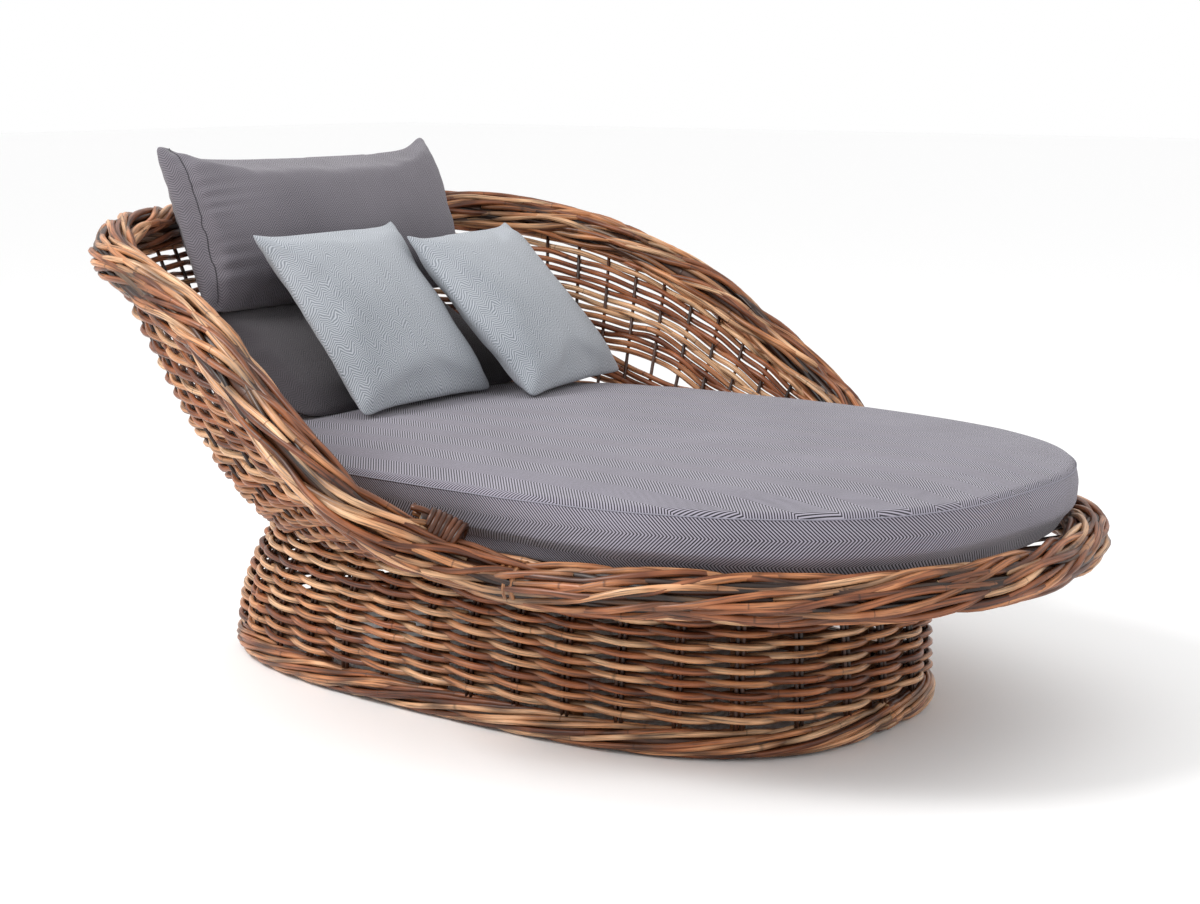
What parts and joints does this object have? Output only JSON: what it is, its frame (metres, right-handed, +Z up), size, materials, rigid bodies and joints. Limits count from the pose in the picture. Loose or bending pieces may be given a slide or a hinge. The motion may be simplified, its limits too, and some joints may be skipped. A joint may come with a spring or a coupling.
{
  "type": "rattan sun lounger",
  "caption": "Woven rattan daybed with an oval basket base, a rolled seat rim, raised wings round the head end, a mattress and loose pillows.",
  "frame": {"origin": "centre of the bounding box at floor level", "axes": "+X towards the foot end, +Z up, +Y to the left of a person lying on it with the head at -X"},
  "size_m": [1.9154, 1.4893, 0.9775],
  "materials": {
    "rattan_cane": "oiled brown rattan cane, satin",
    "rattan_roll": "bundled brown rattan cane, satin",
    "rattan_stake": "dark brown rattan cane, satin",
    "rattan_binding": "peeled cane, satin",
    "rattan_pole": "thick rattan pole, sanded",
    "deck_timber": "planed hardwood, bare",
    "glide_nylon": "moulded nylon",
    "mattress_fabric": "grey-mauve herringbone upholstery cloth",
    "pillow_fabric": "grey twill upholstery cloth",
    "scatter_fabric": "blue-grey zigzag weave upholstery cloth"
  },
  "bodies": {
    "root": {"floor_glides": "glide_nylon", "bottom_ring": "rattan_pole", "posts": "rattan_pole", "seat_ring": "rattan_pole", "bearers": "deck_timber", "deck_slats": "deck_timber", "foot_border": "rattan_roll", "base_stakes": "rattan_stake", "base_weave_foot": "rattan_cane", "base_weave_left": "rattan_cane", "base_weave_head": "rattan_cane", "base_weave_right": "rattan_cane", "tray_stakes": "rattan_stake", "wall_stakes": "rattan_stake", "tray_weave": "rattan_cane", "wing_weave_left": "rattan_cane", "back_weave": "rattan_cane", "wing_weave_right": "rattan_cane", "rim_pole": "rattan_pole", "hoop_pole": "rattan_pole", "seat_rim": "rattan_roll", "back_hoop": "rattan_roll", "knot_binding_left": "rattan_binding", "knot_binding_right": "rattan_binding", "mattress": "mattress_fabric", "back_pillow_lower": "pillow_fabric", "back_pillow_upper": "pillow_fabric", "scatter_cushion_left": "scatter_fabric", "scatter_cushion_right": "scatter_fabric"}
  },
  "joints": []
}
